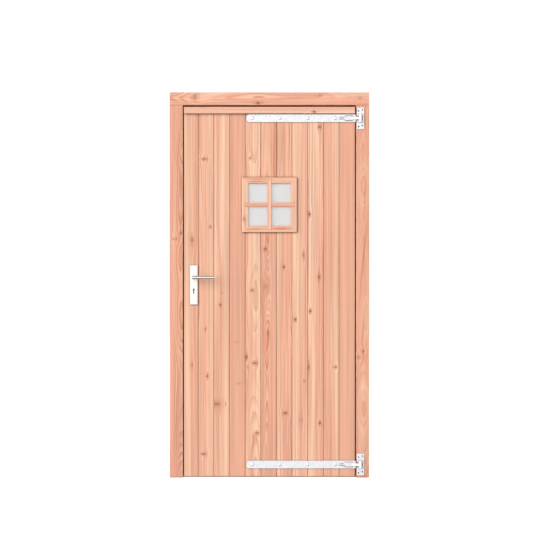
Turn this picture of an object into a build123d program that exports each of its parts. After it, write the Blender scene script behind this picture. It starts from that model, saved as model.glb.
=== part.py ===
from build123d import *

import os
from math import cos, radians, sin

# A single plank door with a small four-light window, hung on two long strap hinges in a timber frame.
# Millimetres, +Z up. The outside of the door faces -Y and its hinges are at +X, so it opens towards -Y.
# The origin is on the outer side of the hinge post, at floor level, halfway through the frame's depth.

# Timber frame
FRAME_WIDTH = 1086.0
FRAME_HEIGHT = 2098.0
FRAME_DEPTH = 90.0
POST_WIDTH = 72.0
HEAD_HEIGHT = 70.0
STOP_WIDTH = 15.0
SILL_HEIGHT = 22.0
EDGE_EASE = 2.0

# Gaps around the leaf
SIDE_GAP = 6.0
TOP_GAP = 10.0
FLOOR_GAP = 8.0
CLOSE_GAP = 5.0

# Tongued and grooved boards of the leaf
BOARD_COVER = 85.2
LATCH_BOARD_COVER = 78.0
LATCH_BOARDS = 4
WINDOW_BOARDS = 3
HINGE_BOARDS = 4
BOARD_THICK = 19.0
TONGUE_LENGTH = 8.0
TONGUE_THICK = 6.0
TONGUE_PLAY = 0.4
BOARD_CHAMFER = 1.5
SHADOW_GAP = 1.5

# Framing on the inside of the leaf
RAIL_THICK = 36.0
STILE_WIDTH = 110.0
TOP_RAIL_HEIGHT = 110.0
LOCK_RAIL_HEIGHT = 120.0
LOCK_RAIL_CENTRE = 1040.0
BOTTOM_RAIL_HEIGHT = 140.0
BRACE_WIDTH = 95.0
LATCH_SETBACK = 3.0

# Drip strip across the top of the boards
DRIP_HEIGHT = 36.0
DRIP_THICK = 18.0
DRIP_ROUND = 3.0
DRIP_GROOVE = 4.0

# Window
WINDOW_SIZE = 300.0
WINDOW_CENTRE = 1486.0
WINDOW_BOARD_SHIFT = -3.6
TRIM_WIDTH = 35.0
TRIM_THICK = 15.0
TRIM_BEVEL = 3.0
GLASS_THICK = 4.0
GLASS_LAP = 8.0
GLASS_PLAY = 1.0
TRIM_COVER = 8.0
BAR_WIDTH = 24.0
BAR_LAP = 22.0
BAR_LET_IN = 7.0
BAR_PROUD = 2.0
BAR_ROUND = 3.0

# Strap hinges
STRAP_WIDTH = 42.0
STRAP_THICK = 5.0
STRAP_REACH = 621.0
STRAP_TIP_ROUND = 16.0
STRAP_END_ROUND = 6.0
STRAP_BELOW_DRIP = 4.0
LOWER_HINGE_CENTRE = 72.0
BOLT_HOLE_RADIUS = 4.0
BOLT_FROM_TIP = 34.0
BOLT_FROM_SWAGE = 20.0
BOLTS_PER_STRAP = 4
SWAGE_THICK = 5.5
SWAGE_BEVEL = 4.0
SWAGE_TAIL_WIDTH = 12.0
SWAGE_TAIL_LENGTH = 26.0
SWAGE_WIDTH = 29.0
SWAGE_LENGTH = 38.0
SWAGE_FLARE = 8.0
NECK_WIDTH = 11.0
NECK_LENGTH = 37.0
EYE_RADIUS = 9.0
EYE_WIDTH = 20.0
PIN_RADIUS = 5.0
PIN_PLAY = 0.1
PIN_RISE = 10.5

# Hinge plates on the post
PLATE_WIDTH = 40.0
PLATE_HEIGHT = 118.0
PLATE_THICK = 3.5
PLATE_ROUND = 3.0
PLATE_FROM_JAMB = 4.5
STRAP_FROM_PLATE = 5.5
LUG_WIDTH = 10.0
LUG_FOOT = 32.0
EYE_PLAY = 0.5
EYE_ROOM = 3.5
SCREW_RADIUS = 4.0
SCREW_HOLES = ((-10.5, 40.0), (10.5, 46.0))

# Lever handle, lock plates and mortise lock
LEVER_HEIGHT = 1090.0
BACKSET = 50.0
LEVER_LENGTH = 115.0
LEVER_RADIUS = 9.0
LEVER_REACH = 56.0
LEVER_TIP_BEVEL = 1.0
LEVER_PLAY = 0.3
LEVER_FROM_FACE = 1.0
SPINDLE_SIDE = 8.0
SPINDLE_SOCKET = 18.0
SPINDLE_BORE = 8.0
LOCK_PLATE_WIDTH = 42.0
LOCK_PLATE_HEIGHT = 215.0
LOCK_PLATE_THICK = 8.0
LOCK_PLATE_ABOVE = 67.0
LOCK_PLATE_ROUND = 2.0
LOCK_PLATE_BEVEL = 1.5
COLLAR_RADIUS = 12.5
COLLAR_HEIGHT = 4.0
COLLAR_BEVEL = 1.0
KEYHOLE_DROP = 65.0
KEYHOLE_RADIUS = 5.0
KEYHOLE_SLOT = 5.0
KEYHOLE_LENGTH = 28.0
LOCK_CASE_WIDTH = 76.0
LOCK_CASE_THICK = 15.0
LOCK_CASE_ABOVE = 42.0
LOCK_CASE_HEIGHT = 165.0
FOREND_WIDTH = 22.0
FOREND_HEIGHT = 235.0
FOREND_THICK = 3.0
BOLT_NOSE = 1.5
LATCH_HEIGHT = 28.0
DEADBOLT_HEIGHT = 34.0
NOSE_THICK = 11.0
LOCK_PLAY = 0.5
STRIKE_HEIGHT = 170.0
STRIKE_THICK = 2.5
STRIKE_POCKET = 14.0
STRIKE_MARGIN = 3.0

# Lines that the pieces share, worked out from the sizes above
HINGE_JAMB = -POST_WIDTH
LATCH_JAMB = POST_WIDTH - FRAME_WIDTH
CENTRE = -FRAME_WIDTH / 2
FRONT = -FRAME_DEPTH / 2
BACK = FRAME_DEPTH / 2
HEAD_UNDER = FRAME_HEIGHT - HEAD_HEIGHT

LEAF_LEFT = LATCH_JAMB + SIDE_GAP
LEAF_RIGHT = HINGE_JAMB - SIDE_GAP
LEAF_BOTTOM = FLOOR_GAP
LEAF_TOP = HEAD_UNDER - TOP_GAP
BOARD_BACK = FRONT + BOARD_THICK
LEAF_BACK = BOARD_BACK + RAIL_THICK
STOP_FRONT = LEAF_BACK + CLOSE_GAP

STILE_EDGE = LEAF_LEFT + LATCH_SETBACK
BAY_LEFT = STILE_EDGE + STILE_WIDTH
BAY_RIGHT = LEAF_RIGHT - STILE_WIDTH
LOCK_RAIL_BOTTOM = LOCK_RAIL_CENTRE - LOCK_RAIL_HEIGHT / 2
BOTTOM_RAIL_TOP = LEAF_BOTTOM + BOTTOM_RAIL_HEIGHT

SIGHT = WINDOW_SIZE - 2 * TRIM_WIDTH
GLASS_SIZE = SIGHT + 2 * GLASS_LAP
TRIM_FRONT = FRONT - TRIM_THICK
BAR_FRONT = TRIM_FRONT - BAR_PROUD
BAR_SEAT = TRIM_FRONT + BAR_LET_IN

PIN_X = HINGE_JAMB + PLATE_FROM_JAMB + PLATE_WIDTH / 2
STRAP_END = PLATE_WIDTH / 2 + STRAP_FROM_PLATE
UPPER_HINGE_CENTRE = LEAF_TOP - DRIP_HEIGHT - STRAP_BELOW_DRIP - STRAP_WIDTH / 2
HINGE_CENTRES = {"upper": UPPER_HINGE_CENTRE, "lower": LOWER_HINGE_CENTRE}

LEVER_X = STILE_EDGE + BACKSET
LOCK_Y = BOARD_BACK + RAIL_THICK / 2
LOCK_PLATE_TOP = LEVER_HEIGHT + LOCK_PLATE_ABOVE
LOCK_CASE_TOP = LEVER_HEIGHT + LOCK_CASE_ABOVE
LOCK_CASE_BOTTOM = LOCK_CASE_TOP - LOCK_CASE_HEIGHT
LOCK_CENTRE = (LOCK_CASE_TOP + LOCK_CASE_BOTTOM) / 2
KEYHOLE_HEIGHT = LEVER_HEIGHT - KEYHOLE_DROP

os.makedirs("parts", exist_ok=True)


def keep(piece, name):
    """Labels a finished piece and writes it as a file of its own."""
    piece.label = name
    export_step(piece, f"parts/{name}.step")


def block(x, y, z, mode=Mode.ADD):
    """A box between two values on each axis, in the part that is being built."""
    with Locations(((x[0] + x[1]) / 2, (y[0] + y[1]) / 2, (z[0] + z[1]) / 2)):
        Box(abs(x[1] - x[0]), abs(y[1] - y[0]), abs(z[1] - z[0]), mode=mode)


def about(middle, size):
    """The two ends of a stretch of that size about its middle."""
    return (middle - size / 2, middle + size / 2)


def outside_plane(y, x=0.0, z=0.0):
    """A plane seen from outside: its x is +X, its y is +Z, and it faces -Y."""
    return Plane(origin=(x, y, z), x_dir=(1, 0, 0), z_dir=(0, -1, 0))


def timber(name, x, y, z, grain):
    """A planed timber with its long edges eased."""
    with BuildPart() as piece:
        block(x, y, z)
        chamfer(piece.edges().filter_by(grain), EDGE_EASE)
    keep(piece.part, name)


# Frame: two posts, the head that lies across them, and the stops that the leaf closes against

timber("hinge_post", (HINGE_JAMB, 0), (FRONT, BACK), (0, HEAD_UNDER), Axis.Z)
timber("head_rail", (-FRAME_WIDTH, 0), (FRONT, BACK), (HEAD_UNDER, FRAME_HEIGHT), Axis.X)

strike_windows = {
    "latch": about(LEVER_HEIGHT, LATCH_HEIGHT + 2 * STRIKE_MARGIN),
    "deadbolt": about(KEYHOLE_HEIGHT, DEADBOLT_HEIGHT + 2 * STRIKE_MARGIN),
}
strike_width = about(LOCK_Y, NOSE_THICK + 2 * STRIKE_MARGIN)
strike_depth = (LATCH_JAMB - STRIKE_THICK, LATCH_JAMB)
strike_height = about(LOCK_CENTRE, STRIKE_HEIGHT)

with BuildPart() as latch_post:
    block((-FRAME_WIDTH, LATCH_JAMB), (FRONT, BACK), (0, HEAD_UNDER))
    chamfer(latch_post.edges().filter_by(Axis.Z), EDGE_EASE)
    block(strike_depth, about(LOCK_Y, FOREND_WIDTH), strike_height, mode=Mode.SUBTRACT)
    for window in strike_windows.values():
        pocket = (LATCH_JAMB - STRIKE_POCKET, LATCH_JAMB)
        block(pocket, strike_width, window, mode=Mode.SUBTRACT)
keep(latch_post.part, "latch_post")

with BuildPart() as strike_plate:
    block(strike_depth, about(LOCK_Y, FOREND_WIDTH), strike_height)
    for window in strike_windows.values():
        block(strike_depth, strike_width, window, mode=Mode.SUBTRACT)
keep(strike_plate.part, "strike_plate")

stop_depth = (STOP_FRONT, BACK)
side_stop_height = (SILL_HEIGHT, HEAD_UNDER - STOP_WIDTH)
timber("hinge_stop", (HINGE_JAMB - STOP_WIDTH, HINGE_JAMB), stop_depth, side_stop_height, Axis.Z)
timber("latch_stop", (LATCH_JAMB, LATCH_JAMB + STOP_WIDTH), stop_depth, side_stop_height, Axis.Z)
timber("head_stop", (LATCH_JAMB, HINGE_JAMB), stop_depth, (HEAD_UNDER - STOP_WIDTH, HEAD_UNDER), Axis.X)
timber("sill_stop", (LATCH_JAMB, HINGE_JAMB), stop_depth, (0, SILL_HEIGHT), Axis.X)


# Boards: the window cuts through a run of whole boards, and on both sides of it the boards share the rest
# of the leaf. The one at the latch edge has its own width, because the lock plate lies on it. Tongues
# reach left, into the groove of the board before.

window_run = about(CENTRE + WINDOW_BOARD_SHIFT, WINDOW_BOARDS * BOARD_COVER)
latch_run = (LEAF_LEFT + LATCH_BOARD_COVER, window_run[0])
hinge_run = (window_run[1], LEAF_RIGHT)


def left_edges(run, count):
    """The left edges of boards that share a run evenly."""
    return [run[0] + (run[1] - run[0]) * n / count for n in range(count)]


board_edges = [
    LEAF_LEFT,
    *left_edges(latch_run, LATCH_BOARDS - 1),
    *left_edges(window_run, WINDOW_BOARDS),
    *left_edges(hinge_run, HINGE_BOARDS),
    LEAF_RIGHT,
]
board_names = [f"latch_board_{n}" for n in range(1, LATCH_BOARDS + 1)]
board_names += [f"window_board_{n}" for n in range(1, WINDOW_BOARDS + 1)]
board_names += [f"hinge_board_{n}" for n in range(HINGE_BOARDS, 0, -1)]


def window_saw_line(side):
    """Where the boards are sawn beside the window: along a joint that the trim hides, if there is one."""
    least = GLASS_SIZE / 2 + GLASS_PLAY
    most = WINDOW_SIZE / 2 - TRIM_COVER
    hidden = [edge for edge in board_edges if least <= side * (edge - CENTRE) <= most]
    return hidden[0] if hidden else CENTRE + side * least


def keyhole(mode=Mode.ADD):
    """A round hole with a slot hanging from it, in a sketch plane through the lever's axis."""
    with Locations((0, -KEYHOLE_DROP)):
        Circle(KEYHOLE_RADIUS, mode=mode)
        Rectangle(
            KEYHOLE_SLOT,
            KEYHOLE_LENGTH - KEYHOLE_RADIUS,
            align=(Align.CENTER, Align.MAX),
            mode=mode,
        )


def lock_holes(y_from, y_to):
    """Bores for the spindle and the key through whatever stands between two depths."""
    with BuildSketch(outside_plane(y_to, LEVER_X, LEVER_HEIGHT)) as holes:
        Circle(SPINDLE_BORE)
        keyhole()
    extrude(holes.sketch, amount=y_to - y_from, mode=Mode.SUBTRACT)


window_cut = (window_saw_line(-1), window_saw_line(1))
tongue_line = FRONT + BOARD_THICK / 2
groove_depth = TONGUE_LENGTH + TONGUE_PLAY
groove_width = TONGUE_THICK + 2 * TONGUE_PLAY
lip_thick = (BOARD_THICK - groove_width) / 2
for name, left, right in zip(board_names, board_edges, board_edges[1:]):
    with BuildPart() as board:
        with BuildSketch(Plane.XY.offset(LEAF_BOTTOM)) as section:
            with Locations(((left + right) / 2, tongue_line)):
                Rectangle(right - left, BOARD_THICK)
            if right < LEAF_RIGHT:
                with Locations((right - groove_depth / 2, tongue_line)):
                    Rectangle(groove_depth, groove_width, mode=Mode.SUBTRACT)
                # The front lip stops short of the next board, which leaves a dark line at the joint
                with Locations((right, FRONT)):
                    lip_align = (Align.MAX, Align.MIN)
                    Rectangle(SHADOW_GAP, lip_thick, align=lip_align, mode=Mode.SUBTRACT)
            chamfer(section.vertices().group_by(Axis.Y)[0], BOARD_CHAMFER)
            if left > LEAF_LEFT:
                with Locations((left - TONGUE_LENGTH / 2, tongue_line)):
                    Rectangle(TONGUE_LENGTH, TONGUE_THICK)
        extrude(amount=LEAF_TOP - LEAF_BOTTOM)
        # A tongue that lies along the window goes with the waste
        tongue_waste = TONGUE_LENGTH if left == window_cut[0] else 0
        block(
            (window_cut[0] - tongue_waste, window_cut[1]),
            (FRONT, BOARD_BACK),
            about(WINDOW_CENTRE, GLASS_SIZE + 2 * GLASS_PLAY),
            mode=Mode.SUBTRACT,
        )
        if left < LEVER_X < right:
            lock_holes(FRONT, BOARD_BACK)
    keep(board.part, name)


# Drip strip, with a groove underneath where water lets go

with BuildPart() as drip_strip:
    block((LEAF_LEFT, LEAF_RIGHT), (FRONT - DRIP_THICK, FRONT), (LEAF_TOP - DRIP_HEIGHT, LEAF_TOP))
    front_face = drip_strip.faces().sort_by(Axis.Y)[0]
    fillet(front_face.edges().filter_by(Axis.X), DRIP_ROUND)
    groove_middle = FRONT - DRIP_THICK / 2
    groove_floor = LEAF_TOP - DRIP_HEIGHT
    block(
        (LEAF_LEFT, LEAF_RIGHT),
        about(groove_middle, DRIP_GROOVE),
        (groove_floor, groove_floor + DRIP_GROOVE),
        mode=Mode.SUBTRACT,
    )
keep(drip_strip.part, "drip_strip")


# Framing behind the boards: stiles at both edges, three rails between them and a brace

leaf_framing = (BOARD_BACK, LEAF_BACK)
bay_width = (BAY_LEFT, BAY_RIGHT)
timber("hinge_stile", (BAY_RIGHT, LEAF_RIGHT), leaf_framing, (LEAF_BOTTOM, LEAF_TOP), Axis.Z)
timber("top_rail", bay_width, leaf_framing, (LEAF_TOP - TOP_RAIL_HEIGHT, LEAF_TOP), Axis.X)
timber("lock_rail", bay_width, leaf_framing, about(LOCK_RAIL_CENTRE, LOCK_RAIL_HEIGHT), Axis.X)
timber("bottom_rail", bay_width, leaf_framing, (LEAF_BOTTOM, BOTTOM_RAIL_TOP), Axis.X)

forend_height = about(LOCK_CENTRE, FOREND_HEIGHT)
case_height = (LOCK_CASE_BOTTOM, LOCK_CASE_TOP)
case_width = (STILE_EDGE, STILE_EDGE + LOCK_CASE_WIDTH)

with BuildPart() as lock_stile:
    block((STILE_EDGE, BAY_LEFT), leaf_framing, (LEAF_BOTTOM, LEAF_TOP))
    chamfer(lock_stile.edges().filter_by(Axis.Z), EDGE_EASE)
    block(
        (STILE_EDGE, STILE_EDGE + FOREND_THICK),
        about(LOCK_Y, FOREND_WIDTH),
        forend_height,
        mode=Mode.SUBTRACT,
    )
    block(
        (STILE_EDGE, STILE_EDGE + LOCK_CASE_WIDTH + LOCK_PLAY),
        about(LOCK_Y, LOCK_CASE_THICK + 2 * LOCK_PLAY),
        about(LOCK_CENTRE, LOCK_CASE_HEIGHT + 2 * LOCK_PLAY),
        mode=Mode.SUBTRACT,
    )
    lock_holes(BOARD_BACK, LEAF_BACK)
keep(lock_stile.part, "lock_stile")

# The brace rises from the bottom of the hinge stile, and its ends are cut to fill the corners of the bay
bay_height = (BOTTOM_RAIL_TOP, LOCK_RAIL_BOTTOM)
bay_size = (BAY_RIGHT - BAY_LEFT, LOCK_RAIL_BOTTOM - BOTTOM_RAIL_TOP)
bay_middle = (sum(bay_width) / 2, sum(bay_height) / 2)
bay_diagonal = Vector(-bay_size[0], bay_size[1])

with BuildPart() as brace:
    with BuildSketch(outside_plane(LEAF_BACK, bay_middle[0], bay_middle[1])):
        slope = bay_diagonal.get_signed_angle(Vector(-1, 0), Vector(0, 0, -1))
        Rectangle(2 * bay_diagonal.length, BRACE_WIDTH, rotation=slope)
        Rectangle(*bay_size, mode=Mode.INTERSECT)
    extrude(amount=RAIL_THICK)
keep(brace.part, "brace")


# Window: mitred trims outside and inside, one pane between them, and two halved bars in front of it


def facing_places(run, outer, width):
    """The middles of two facing lengths of a square frame: its upright sides or its level rails."""
    return PolarLocations((outer - width) / 2, 2, start_angle=90 if run == "rails" else 0)


def square_pair(plane, run, outer, width):
    """Two facing lengths of a square frame with their ends still square, as a sketch."""
    with BuildSketch(plane) as sketch:
        with facing_places(run, outer, width):
            Rectangle(width, outer)
    return sketch.sketch


def mitred_pair(plane, run, outer, width):
    """Two facing lengths of a square frame with mitred ends, as a sketch."""
    with BuildSketch(plane) as sketch:
        with facing_places(run, outer, width):
            Trapezoid(outer, width, 45, rotation=90)
    return sketch.sketch


def bar_block(length, width, y, mode=Mode.ADD):
    """A stretch of glazing bar across the window; length runs along X and width along Z."""
    block(about(CENTRE, length), y, about(WINDOW_CENTRE, width), mode=mode)


bar_length = SIGHT + 2 * BAR_LAP
bar_top = (BAR_FRONT, BAR_SEAT)
bar_half = (BAR_FRONT + FRONT) / 2
trim_runs = {"sides": (Axis.Z, bar_length, BAR_WIDTH), "rails": (Axis.X, BAR_WIDTH, bar_length)}

for run, (grain, seat_length, seat_width) in trim_runs.items():
    with BuildPart() as trim:
        outside = outside_plane(FRONT, CENTRE, WINDOW_CENTRE)
        extrude(square_pair(outside, run, WINDOW_SIZE, TRIM_WIDTH), amount=TRIM_THICK)
        chamfer(trim.edges().filter_by(grain).group_by(Axis.Y)[0], TRIM_BEVEL)
        mitres = mitred_pair(outside, run, WINDOW_SIZE, TRIM_WIDTH)
        extrude(mitres, amount=TRIM_THICK, mode=Mode.INTERSECT)
        bar_block(seat_length, seat_width, bar_top, mode=Mode.SUBTRACT)
    keep(trim.part, f"window_trim_{run}")

    with BuildPart() as bead:
        inside = outside_plane(BOARD_BACK, CENTRE, WINDOW_CENTRE)
        extrude(square_pair(inside, run, WINDOW_SIZE, TRIM_WIDTH), amount=-TRIM_THICK)
        chamfer(bead.edges().filter_by(grain).group_by(Axis.Y)[-1], TRIM_BEVEL)
        mitres = mitred_pair(inside, run, WINDOW_SIZE, TRIM_WIDTH)
        extrude(mitres, amount=-TRIM_THICK, mode=Mode.INTERSECT)
        extrude(mitred_pair(inside, run, GLASS_SIZE, GLASS_LAP), amount=BOARD_THICK - GLASS_THICK)
    keep(bead.part, f"inside_trim_{run}")

with BuildPart() as window_pane:
    bar_block(GLASS_SIZE, GLASS_SIZE, (FRONT, FRONT + GLASS_THICK))
keep(window_pane.part, "window_pane")

with BuildPart() as upright_bar:
    bar_block(BAR_WIDTH, bar_length, bar_top)
    bar_block(BAR_WIDTH, SIGHT, (BAR_SEAT, FRONT))
    fillet(upright_bar.faces().sort_by(Axis.Y)[0].edges(), BAR_ROUND)
    bar_block(BAR_WIDTH, BAR_WIDTH, (bar_half, FRONT), mode=Mode.SUBTRACT)
keep(upright_bar.part, "upright_bar")

with BuildPart() as cross_bar:
    bar_block(bar_length, BAR_WIDTH, bar_top)
    bar_block(SIGHT, BAR_WIDTH, (BAR_SEAT, FRONT))
    fillet(cross_bar.faces().sort_by(Axis.Y)[0].edges(), BAR_ROUND)
    bar_block(BAR_WIDTH, BAR_WIDTH, (BAR_FRONT, bar_half), mode=Mode.SUBTRACT)
keep(cross_bar.part, "cross_bar")


# Strap hinges: a plate with two pressed lugs on the post, a pin peened flush in them, and a strap whose
# swaged root narrows to a neck that ends in an eye round the pin


def eye_point(angle):
    """A point on the outside of the eye, in a level plane through the hinge; 90 degrees is straight out."""
    turn = radians(angle)
    return (EYE_RADIUS * cos(turn), -PIN_RISE - EYE_RADIUS * sin(turn))


def level_plane(height):
    """A level plane whose origin is on the wood's front face, in line with the hinge pin."""
    return Plane(origin=(PIN_X, FRONT, height))


swage_start = -NECK_LENGTH
swage_shoulder = swage_start - SWAGE_FLARE
swage_heel = swage_shoulder - SWAGE_LENGTH
swage_tail = swage_heel - SWAGE_FLARE
swage_tip = swage_tail - SWAGE_TAIL_LENGTH
bolt_first = BOLT_FROM_TIP - STRAP_REACH
bolt_last = swage_tip - BOLT_FROM_SWAGE
bolt_spacing = (bolt_last - bolt_first) / (BOLTS_PER_STRAP - 1)
lug_start = EYE_WIDTH / 2 + EYE_PLAY
barrel_half = lug_start + LUG_WIDTH

for place, height in HINGE_CENTRES.items():
    face = outside_plane(FRONT, PIN_X, height)

    with BuildPart() as plate:
        with BuildSketch(face) as outline:
            Rectangle(PLATE_WIDTH, PLATE_HEIGHT)
            fillet(outline.vertices(), PLATE_ROUND)
            # Open between the lugs, from the strap's side to just past the eye
            with Locations((EYE_RADIUS + EYE_ROOM, 0)):
                Rectangle(PLATE_WIDTH, 2 * lug_start, align=(Align.MAX, Align.CENTER), mode=Mode.SUBTRACT)
            for x, z in SCREW_HOLES:
                with Locations((x, z), (-x, -z)):
                    Circle(SCREW_RADIUS, mode=Mode.SUBTRACT)
        extrude(amount=PLATE_THICK)
        for lug_bottom in (lug_start, -barrel_half):
            with BuildSketch(level_plane(height + lug_bottom)):
                with Locations((0, -PLATE_THICK / 2)):
                    Rectangle(LUG_FOOT, PLATE_THICK)
                with Locations((0, -PIN_RISE)):
                    Circle(EYE_RADIUS)
                make_hull()
                with Locations((0, -PIN_RISE)):
                    Circle(PIN_RADIUS, mode=Mode.SUBTRACT)
            extrude(amount=LUG_WIDTH)
    keep(plate.part, f"{place}_hinge_plate")

    with BuildPart() as pin:
        with BuildSketch(level_plane(height)):
            with Locations((0, -PIN_RISE)):
                Circle(PIN_RADIUS)
        extrude(amount=barrel_half, both=True)
    keep(pin.part, f"{place}_hinge_pin")

    with BuildPart() as strap:
        with BuildSketch(face) as outline:
            with Locations((-(STRAP_REACH + STRAP_END) / 2, 0)):
                Rectangle(STRAP_REACH - STRAP_END, STRAP_WIDTH)
            fillet(outline.vertices().group_by(Axis.X)[0], STRAP_TIP_ROUND)
            fillet(outline.vertices().group_by(Axis.X)[-1], STRAP_END_ROUND)
            with Locations(((bolt_first + bolt_last) / 2, 0)):
                with GridLocations(bolt_spacing, 0, BOLTS_PER_STRAP, 1):
                    Circle(BOLT_HOLE_RADIUS, mode=Mode.SUBTRACT)
        extrude(amount=STRAP_THICK)
        with BuildSketch(face.offset(STRAP_THICK)) as swage:
            with BuildLine():
                Polyline(
                    (swage_start, 0),
                    (swage_start, NECK_WIDTH / 2),
                    (swage_shoulder, SWAGE_WIDTH / 2),
                    (swage_heel, SWAGE_WIDTH / 2),
                    (swage_tail, SWAGE_TAIL_WIDTH / 2),
                    (swage_tip, SWAGE_TAIL_WIDTH / 2),
                    (swage_tip, 0),
                )
                mirror(about=Plane.XZ)
            make_face()
        extrude(amount=SWAGE_THICK)
        chamfer(strap.faces().sort_by(Axis.Y)[0].edges(), SWAGE_BEVEL)
        with BuildSketch(level_plane(height)):
            with BuildLine():
                Polyline(
                    (swage_shoulder, -STRAP_THICK),
                    (swage_shoulder, -STRAP_THICK - SWAGE_THICK),
                    eye_point(115),
                    (0, -PIN_RISE),
                    eye_point(210),
                    close=True,
                )
            make_face()
        extrude(amount=NECK_WIDTH / 2, both=True)
        for radius, mode in ((EYE_RADIUS, Mode.ADD), (PIN_RADIUS + PIN_PLAY, Mode.SUBTRACT)):
            with BuildSketch(level_plane(height)):
                with Locations((0, -PIN_RISE)):
                    Circle(radius)
            extrude(amount=EYE_WIDTH / 2, both=True, mode=mode)
    keep(strap.part, f"{place}_strap")


# Lock: a plate and a lever on each side, the square spindle between the levers, and the mortise lock


def outer_face(piece, out):
    """The face that stands furthest out of the leaf on that side."""
    return piece.faces().sort_by(Axis.Y)[0 if out < 0 else -1]


plate_middle = LOCK_PLATE_ABOVE - LOCK_PLATE_HEIGHT / 2
lever_sides = {"outer": (FRONT, -1), "inner": (LEAF_BACK, 1)}

for side, (face_y, out) in lever_sides.items():
    with BuildPart() as lock_plate:
        with BuildSketch(outside_plane(face_y, LEVER_X, LEVER_HEIGHT)) as outline:
            with Locations((0, plate_middle)):
                Rectangle(LOCK_PLATE_WIDTH, LOCK_PLATE_HEIGHT)
            fillet(outline.vertices(), LOCK_PLATE_ROUND)
        extrude(amount=-out * LOCK_PLATE_THICK)
        chamfer(outer_face(lock_plate, out).edges(), LOCK_PLATE_BEVEL)
        with BuildSketch(outside_plane(face_y + out * LOCK_PLATE_THICK, LEVER_X, LEVER_HEIGHT)):
            Circle(COLLAR_RADIUS)
        extrude(amount=-out * COLLAR_HEIGHT)
        chamfer(outer_face(lock_plate, out).edges(), COLLAR_BEVEL)
        with BuildSketch(outside_plane(face_y, LEVER_X, LEVER_HEIGHT)):
            Circle(LEVER_RADIUS + LEVER_PLAY)
            keyhole()
        extrude(amount=-out * (LOCK_PLATE_THICK + COLLAR_HEIGHT), mode=Mode.SUBTRACT)
    keep(lock_plate.part, f"{side}_lock_plate")

    neck_start = (LEVER_X, face_y + out * LEVER_FROM_FACE, LEVER_HEIGHT)
    with BuildPart() as lever:
        with BuildLine() as route:
            Polyline(
                neck_start,
                (LEVER_X, face_y + out * LEVER_REACH, LEVER_HEIGHT),
                (LEVER_X + LEVER_LENGTH, face_y + out * LEVER_REACH, LEVER_HEIGHT),
            )
        with BuildSketch(Plane(origin=neck_start, z_dir=(0, out, 0))):
            Circle(LEVER_RADIUS)
        sweep(path=route.line, transition=Transition.RIGHT)
        chamfer(lever.faces().sort_by(Axis.X)[-1].edges(), LEVER_TIP_BEVEL)
        block(
            about(LEVER_X, SPINDLE_SIDE),
            (neck_start[1], neck_start[1] + out * SPINDLE_SOCKET),
            about(LEVER_HEIGHT, SPINDLE_SIDE),
            mode=Mode.SUBTRACT,
        )
    keep(lever.part, f"{side}_lever")

with BuildPart() as spindle:
    socket_end = LEVER_FROM_FACE + SPINDLE_SOCKET
    block(
        about(LEVER_X, SPINDLE_SIDE),
        (FRONT - socket_end, LEAF_BACK + socket_end),
        about(LEVER_HEIGHT, SPINDLE_SIDE),
    )
keep(spindle.part, "spindle")

with BuildPart() as mortise_lock:
    block((STILE_EDGE, STILE_EDGE + FOREND_THICK), about(LOCK_Y, FOREND_WIDTH), forend_height)
    block(case_width, about(LOCK_Y, LOCK_CASE_THICK), case_height)
    for nose_height, middle in ((LATCH_HEIGHT, LEVER_HEIGHT), (DEADBOLT_HEIGHT, KEYHOLE_HEIGHT)):
        block((STILE_EDGE - BOLT_NOSE, STILE_EDGE), about(LOCK_Y, NOSE_THICK), about(middle, nose_height))
    lock_holes(*about(LOCK_Y, LOCK_CASE_THICK))
keep(mortise_lock.part, "mortise_lock")
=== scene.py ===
"""Dresses a plank door with a small window: its timber, glass, hinges, lock and fixings, and the stage."""

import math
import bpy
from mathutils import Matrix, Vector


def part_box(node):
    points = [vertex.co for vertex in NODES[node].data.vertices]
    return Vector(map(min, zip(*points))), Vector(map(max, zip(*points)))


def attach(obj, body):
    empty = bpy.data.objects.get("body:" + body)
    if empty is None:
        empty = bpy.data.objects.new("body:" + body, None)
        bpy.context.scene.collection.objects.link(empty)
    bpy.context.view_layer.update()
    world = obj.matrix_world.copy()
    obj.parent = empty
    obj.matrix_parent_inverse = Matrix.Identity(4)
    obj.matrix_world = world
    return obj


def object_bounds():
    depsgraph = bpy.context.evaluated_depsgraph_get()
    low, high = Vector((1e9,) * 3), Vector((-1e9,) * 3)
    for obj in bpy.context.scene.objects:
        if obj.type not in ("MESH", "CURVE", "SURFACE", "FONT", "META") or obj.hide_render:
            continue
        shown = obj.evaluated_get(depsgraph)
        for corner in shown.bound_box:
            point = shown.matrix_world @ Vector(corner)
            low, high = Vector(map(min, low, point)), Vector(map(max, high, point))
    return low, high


bl_info = {
    "name": "Plank Door With Window",
    "version": (1, 0, 0),
    "blender": (4, 5, 0),
    "location": "View3D > Sidebar > Door",
    "description": "Dresses the frame of a plank door with timber, glass, metal and fixings",
    "category": "Object",
}

from typing import NamedTuple

import bmesh
import bpy
from bpy.props import FloatProperty, FloatVectorProperty, IntProperty, PointerProperty
from mathutils import Matrix, Vector

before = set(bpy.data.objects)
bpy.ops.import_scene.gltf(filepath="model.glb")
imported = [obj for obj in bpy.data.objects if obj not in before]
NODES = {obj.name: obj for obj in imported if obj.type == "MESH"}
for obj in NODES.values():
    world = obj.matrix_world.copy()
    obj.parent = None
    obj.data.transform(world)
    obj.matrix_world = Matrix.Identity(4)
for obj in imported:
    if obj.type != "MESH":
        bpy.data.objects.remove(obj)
cad_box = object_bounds()

# The way the grain runs, as a turn about Y from upright
UPRIGHT = 0.0
LEVEL = -math.pi / 2

# Turns that point a fixing's own +Z out of a surface
OUTWARDS = Matrix.Rotation(math.pi / 2, 4, "X")
INWARDS = Matrix.Rotation(-math.pi / 2, 4, "X")
LATCHWARDS = Matrix.Rotation(-math.pi / 2, 4, "Y")
HINGEWARDS = Matrix.Rotation(math.pi / 2, 4, "Y")

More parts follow.
